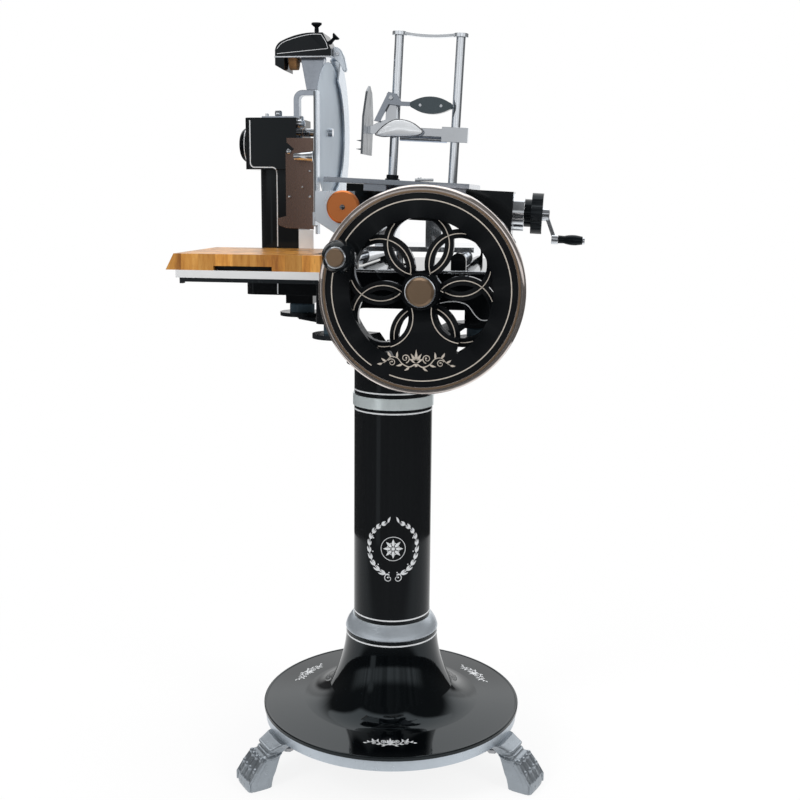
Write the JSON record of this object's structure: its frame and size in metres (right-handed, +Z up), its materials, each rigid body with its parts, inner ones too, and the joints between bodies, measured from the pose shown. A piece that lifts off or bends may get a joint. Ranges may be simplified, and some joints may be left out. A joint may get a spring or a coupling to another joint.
{
  "type": "flywheel meat slicer on a pedestal",
  "caption": "Hand-cranked flywheel meat slicer with upright round blade, reciprocating carriage, screw-fed table and cast pedestal on paw feet.",
  "frame": {"origin": "on the floor, on the axis of the round column", "axes": "+Z up; -Y is the operator side with the flywheel; +X is to the right of the operator, towards the feed crank"},
  "size_m": [0.7303, 0.7174, 1.457],
  "materials": {
    "enamel": "deep black gloss enamel",
    "foot_paint": "blue-grey gloss paint",
    "cast_black": "satin black paint on castings",
    "silver_paint": "satin silver paint",
    "cast_silver": "silver cast metal, lightly worn",
    "chrome": "polished chrome",
    "stainless": "polished stainless steel",
    "steel": "machined steel",
    "copper": "polished copper",
    "bronze": "turned bronze",
    "wood": "oiled hardwood with end-grain staves",
    "black_resin": "polished black resin",
    "abrasive": "tan grinding stone"
  },
  "bodies": {
    "stand": {"paw_feet": "cast_silver", "bolts": "steel", "foot_ring": "cast_silver", "base_bell": "enamel", "lower_ring": "silver_paint", "column_tube": "enamel", "top_band": "silver_paint", "spider": "cast_black", "tie_rod": "steel", "machine_feet": "foot_paint", "base_casting": "enamel", "base_cover": "steel", "bearing_bushes": "bronze", "guide_rods": "chrome", "blade_column": "enamel", "blade_housing": "enamel", "end_cap": "enamel", "strap_arm": "chrome", "drive_chain": "steel", "blade_guard": "chrome", "sharpener_bracket": "chrome", "sharpener_cover": "enamel", "deflector_bracket": "chrome", "gauge_housing": "chrome", "slice_tray": "stainless", "tray_bracket": "cast_black", "wooden_board": "wood"},
    "flywheel": {"flywheel": "enamel", "flywheel_rim": "chrome", "hub_cap": "bronze", "main_shaft": "steel", "knob_bolt": "bronze"},
    "wheel_knob": {"flywheel_knob": "black_resin"},
    "crown": {"crown_gear": "steel"},
    "rod": {"connecting_rod": "steel"},
    "cross": {"cross_shaft": "steel"},
    "cutter": {"blade_sprocket": "steel", "blade_shaft": "chrome", "blade": "stainless"},
    "carriage": {"carriage_base": "chrome", "cross_slide": "enamel", "housing_ring": "chrome"},
    "feed": {"lead_screw": "steel", "feed_wheel": "black_resin", "feed_crank": "chrome"},
    "grip": {"feed_grip": "black_resin"},
    "table": {"table_plate": "stainless", "feed_nut": "bronze", "guide_posts": "chrome", "crossbar": "chrome"},
    "press": {"press_arm": "chrome", "claw_plate": "stainless"},
    "lever": {"press_lever": "chrome", "lever_grip": "black_resin"},
    "deflector": {"slice_deflector": "stainless"},
    "gauge": {"gauge_plate": "stainless"},
    "dial": {"gauge_knob": "copper"},
    "stone": {"grinding_stone": "abrasive"},
    "push_knob": {"top_knob": "black_resin"},
    "slant_knob": {"side_knob": "black_resin"}
  },
  "joints": [
    {"name": "flywheel_spin", "type": "hinge", "parent": "stand", "child": "flywheel", "pos_m": [0.092, -0.3, 0.979], "axis": [0, 1, 0], "continuous": true},
    {"name": "wheel_knob_spin", "type": "hinge", "parent": "flywheel", "child": "wheel_knob", "pos_m": [-0.039, -0.345, 1.0346], "axis": [0, 1, 0], "continuous": true},
    {"name": "crown_spin", "type": "hinge", "parent": "stand", "child": "crown", "pos_m": [0.092, 0.055, 0.95], "axis": [0, 0, 1], "continuous": true},
    {"name": "rod_pivot", "type": "hinge", "parent": "crown", "child": "rod", "pos_m": [0.022, 0.055, 0.965], "axis": [0, 0, 1], "continuous": true},
    {"name": "cross_spin", "type": "hinge", "parent": "stand", "child": "cross", "pos_m": [0, 0.055, 0.979], "axis": [1, 0, 0], "continuous": true},
    {"name": "blade_spin", "type": "hinge", "parent": "stand", "child": "cutter", "pos_m": [-0.139, 0.055, 1.252], "axis": [1, 0, 0], "continuous": true},
    {"name": "carriage_slide", "type": "slide", "parent": "stand", "child": "carriage", "axis": [0, 1, 0], "range_m": [-0.07, 0.07]},
    {"name": "feed_crank_turn", "type": "hinge", "parent": "carriage", "child": "feed", "pos_m": [0.27817, 0.025, 1.10119], "axis": [0.999, 0, -0.0436], "range_deg": [-180, 3240]},
    {"name": "feed_grip_spin", "type": "hinge", "parent": "feed", "child": "grip", "pos_m": [0.30614, 0.025, 1.05392], "axis": [0.999, 0, -0.0436], "continuous": true},
    {"name": "table_slide", "type": "slide", "parent": "carriage", "child": "table", "axis": [0.999, 0, -0.0436], "range_m": [-0.005, 0.09]},
    {"name": "press_slide", "type": "slide", "parent": "table", "child": "press", "axis": [0.0436, 0, 0.999], "range_m": [-0.03, 0.085]},
    {"name": "press_lever_pivot", "type": "hinge", "parent": "press", "child": "lever", "pos_m": [-0.01473, 0.0416, 1.31617], "axis": [0, 1, 0], "range_deg": [-12, 10]},
    {"name": "deflector_swing", "type": "hinge", "parent": "stand", "child": "deflector", "pos_m": [-0.163, -0.03, 1.202], "axis": [1, 0, 0], "range_deg": [-28, 0]},
    {"name": "dial_turn", "type": "hinge", "parent": "stand", "child": "dial", "pos_m": [-0.066, -0.17, 1.112], "axis": [0, 1, 0], "range_deg": [0, 300]},
    {"name": "gauge_slide", "type": "slide", "parent": "stand", "child": "gauge", "axis": [1, 0, 0], "range_m": [0, 0.004]},
    {"name": "stone_spin", "type": "hinge", "parent": "stand", "child": "stone", "pos_m": [-0.2075, 0.055, 1.387], "axis": [1, 0, 0], "continuous": true},
    {"name": "push_knob_press", "type": "slide", "parent": "stand", "child": "push_knob", "axis": [0, 0, 1], "range_m": [-0.005, 0], "stiffness_N_per_m": 600, "springref_m": 0.002},
    {"name": "slant_knob_press", "type": "slide", "parent": "stand", "child": "slant_knob", "axis": [0.7071, 0, 0.7071], "range_m": [-0.005, 0], "stiffness_N_per_m": 600, "springref_m": 0.002}
  ],
  "couplings": [
    {"joint": "crown_spin", "follows": "flywheel_spin", "ratio": 0.26667},
    {"joint": "rod_pivot", "follows": "flywheel_spin", "ratio": -0.26667},
    {"joint": "cross_spin", "follows": "flywheel_spin", "ratio": -1},
    {"joint": "blade_spin", "follows": "flywheel_spin", "ratio": -2.4},
    {"joint": "feed_crank_turn", "follows": "table_slide", "rad_per_m": 628.32},
    {"joint": "gauge_slide", "follows": "dial_turn", "m_per_rad": 0.00076394}
  ]
}
